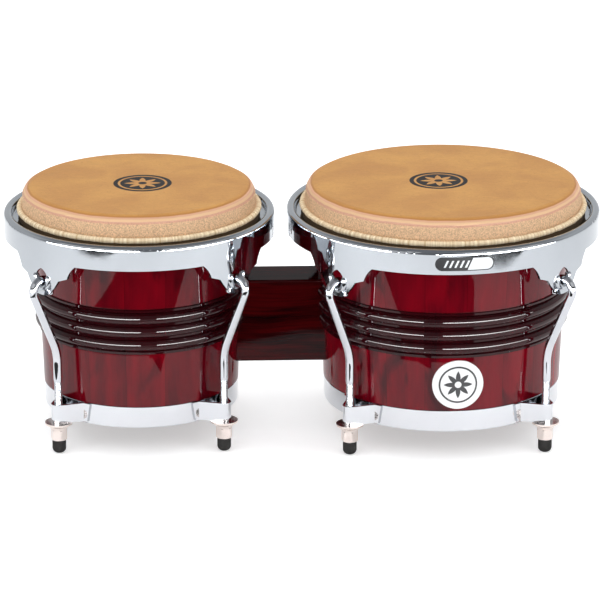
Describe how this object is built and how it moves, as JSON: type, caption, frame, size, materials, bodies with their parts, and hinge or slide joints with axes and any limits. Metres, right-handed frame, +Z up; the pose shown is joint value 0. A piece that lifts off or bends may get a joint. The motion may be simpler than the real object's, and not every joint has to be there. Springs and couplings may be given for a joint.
{
  "type": "bongo drums",
  "caption": "Hand drum set with rawhide heads, tuned by hooks and nuts on eared rims, open at the bottom and joined by a wooden block.",
  "frame": {"origin": "centre of the set under the rubber feet", "axes": "+X from the small drum to the large drum, +Y away from the player, +Z up"},
  "size_m": [0.4404, 0.2318, 0.1877],
  "materials": {
    "lacquered_block": "clear gloss lacquer over dark red stain",
    "plate_steel": "zinc plated",
    "bolt_steel": "zinc plated",
    "insert_brass": "turned",
    "ring_chrome": "bright plated pressing",
    "washer_nickel": "nickel plated",
    "hoop_wire": "plain drawn wire",
    "cap_rubber": "moulded black rubber",
    "rawhide": "bare rawhide, smooth top and rough sides",
    "hook_chrome": "bright plated rod",
    "nut_nickel": "nickel plated",
    "rim_chrome": "bright plated pressing",
    "lacquered_wood": "clear gloss lacquer over red stain",
    "strap_chrome": "bright plated strip",
    "label_print": "plain dark pill",
    "badge_enamel": "white with plain rings"
  },
  "bodies": {
    "frame": {"centre_block": "lacquered_block", "large_backing_plate": "plate_steel", "large_block_bolts": "bolt_steel", "large_block_inserts": "insert_brass", "large_bolt_washers": "bolt_steel", "large_bottom_ring": "ring_chrome", "large_flange_washers": "washer_nickel", "large_head_skin": "rawhide", "large_shell": "lacquered_wood", "large_strap_1": "strap_chrome", "large_strap_2": "strap_chrome", "large_strap_3": "strap_chrome", "large_strap_4": "strap_chrome", "shell_badge": "badge_enamel", "small_backing_plate": "plate_steel", "small_block_bolts": "bolt_steel", "small_block_inserts": "insert_brass", "small_bolt_washers": "bolt_steel", "small_bottom_ring": "ring_chrome", "small_flange_washers": "washer_nickel", "small_head_skin": "rawhide", "small_shell": "lacquered_wood", "small_strap_1": "strap_chrome", "small_strap_2": "strap_chrome", "small_strap_3": "strap_chrome", "small_strap_4": "strap_chrome"},
    "small_rim_set": {"small_flesh_hoop": "hoop_wire", "small_foot_cap_1": "cap_rubber", "small_foot_cap_2": "cap_rubber", "small_foot_cap_3": "cap_rubber", "small_foot_cap_4": "cap_rubber", "small_hook_1": "hook_chrome", "small_hook_2": "hook_chrome", "small_hook_3": "hook_chrome", "small_hook_4": "hook_chrome", "small_rim": "rim_chrome"},
    "small_nut_1_body": {"small_nut_1": "nut_nickel"},
    "small_nut_2_body": {"small_nut_2": "nut_nickel"},
    "small_nut_3_body": {"small_nut_3": "nut_nickel"},
    "small_nut_4_body": {"small_nut_4": "nut_nickel"},
    "large_rim_set": {"large_flesh_hoop": "hoop_wire", "large_foot_cap_1": "cap_rubber", "large_foot_cap_2": "cap_rubber", "large_foot_cap_3": "cap_rubber", "large_foot_cap_4": "cap_rubber", "large_hook_1": "hook_chrome", "large_hook_2": "hook_chrome", "large_hook_3": "hook_chrome", "large_hook_4": "hook_chrome", "large_rim": "rim_chrome", "rim_label": "label_print"},
    "large_nut_1_body": {"large_nut_1": "nut_nickel"},
    "large_nut_2_body": {"large_nut_2": "nut_nickel"},
    "large_nut_3_body": {"large_nut_3": "nut_nickel"},
    "large_nut_4_body": {"large_nut_4": "nut_nickel"}
  },
  "joints": [
    {"name": "small_nut_1_spin", "type": "hinge", "parent": "frame", "child": "small_nut_1_body", "pos_m": [-0.05958, 0.06062, 0.0144], "axis": [0, 0, 1], "range_deg": [0, 1440]},
    {"name": "small_nut_2_spin", "type": "hinge", "parent": "frame", "child": "small_nut_2_body", "pos_m": [-0.18082, 0.06062, 0.0144], "axis": [0, 0, 1], "range_deg": [0, 1440]},
    {"name": "small_nut_3_spin", "type": "hinge", "parent": "frame", "child": "small_nut_3_body", "pos_m": [-0.18082, -0.06062, 0.0144], "axis": [0, 0, 1], "range_deg": [0, 1440]},
    {"name": "small_nut_4_spin", "type": "hinge", "parent": "frame", "child": "small_nut_4_body", "pos_m": [-0.05958, -0.06062, 0.0144], "axis": [0, 0, 1], "range_deg": [0, 1440]},
    {"name": "small_tuning", "type": "slide", "parent": "frame", "child": "small_rim_set", "axis": [0, 0, -1], "range_m": [0, 0.004], "deforming": ["small_head_skin"]},
    {"name": "large_nut_1_spin", "type": "hinge", "parent": "frame", "child": "large_nut_1_body", "pos_m": [0.17617, 0.07184, 0.0144], "axis": [0, 0, 1], "range_deg": [0, 1440]},
    {"name": "large_nut_2_spin", "type": "hinge", "parent": "frame", "child": "large_nut_2_body", "pos_m": [0.03248, 0.07184, 0.0144], "axis": [0, 0, 1], "range_deg": [0, 1440]},
    {"name": "large_nut_3_spin", "type": "hinge", "parent": "frame", "child": "large_nut_3_body", "pos_m": [0.03248, -0.07184, 0.0144], "axis": [0, 0, 1], "range_deg": [0, 1440]},
    {"name": "large_nut_4_spin", "type": "hinge", "parent": "frame", "child": "large_nut_4_body", "pos_m": [0.17617, -0.07184, 0.0144], "axis": [0, 0, 1], "range_deg": [0, 1440]},
    {"name": "large_tuning", "type": "slide", "parent": "frame", "child": "large_rim_set", "axis": [0, 0, -1], "range_m": [0, 0.004], "deforming": ["large_head_skin"]}
  ],
  "couplings": [
    {"joint": "small_nut_1_spin", "follows": "small_tuning", "rad_per_m": 6283.2},
    {"joint": "small_nut_2_spin", "follows": "small_tuning", "rad_per_m": 6283.2},
    {"joint": "small_nut_3_spin", "follows": "small_tuning", "rad_per_m": 6283.2},
    {"joint": "small_nut_4_spin", "follows": "small_tuning", "rad_per_m": 6283.2},
    {"joint": "large_nut_1_spin", "follows": "large_tuning", "rad_per_m": 6283.2},
    {"joint": "large_nut_2_spin", "follows": "large_tuning", "rad_per_m": 6283.2},
    {"joint": "large_nut_3_spin", "follows": "large_tuning", "rad_per_m": 6283.2},
    {"joint": "large_nut_4_spin", "follows": "large_tuning", "rad_per_m": 6283.2}
  ]
}
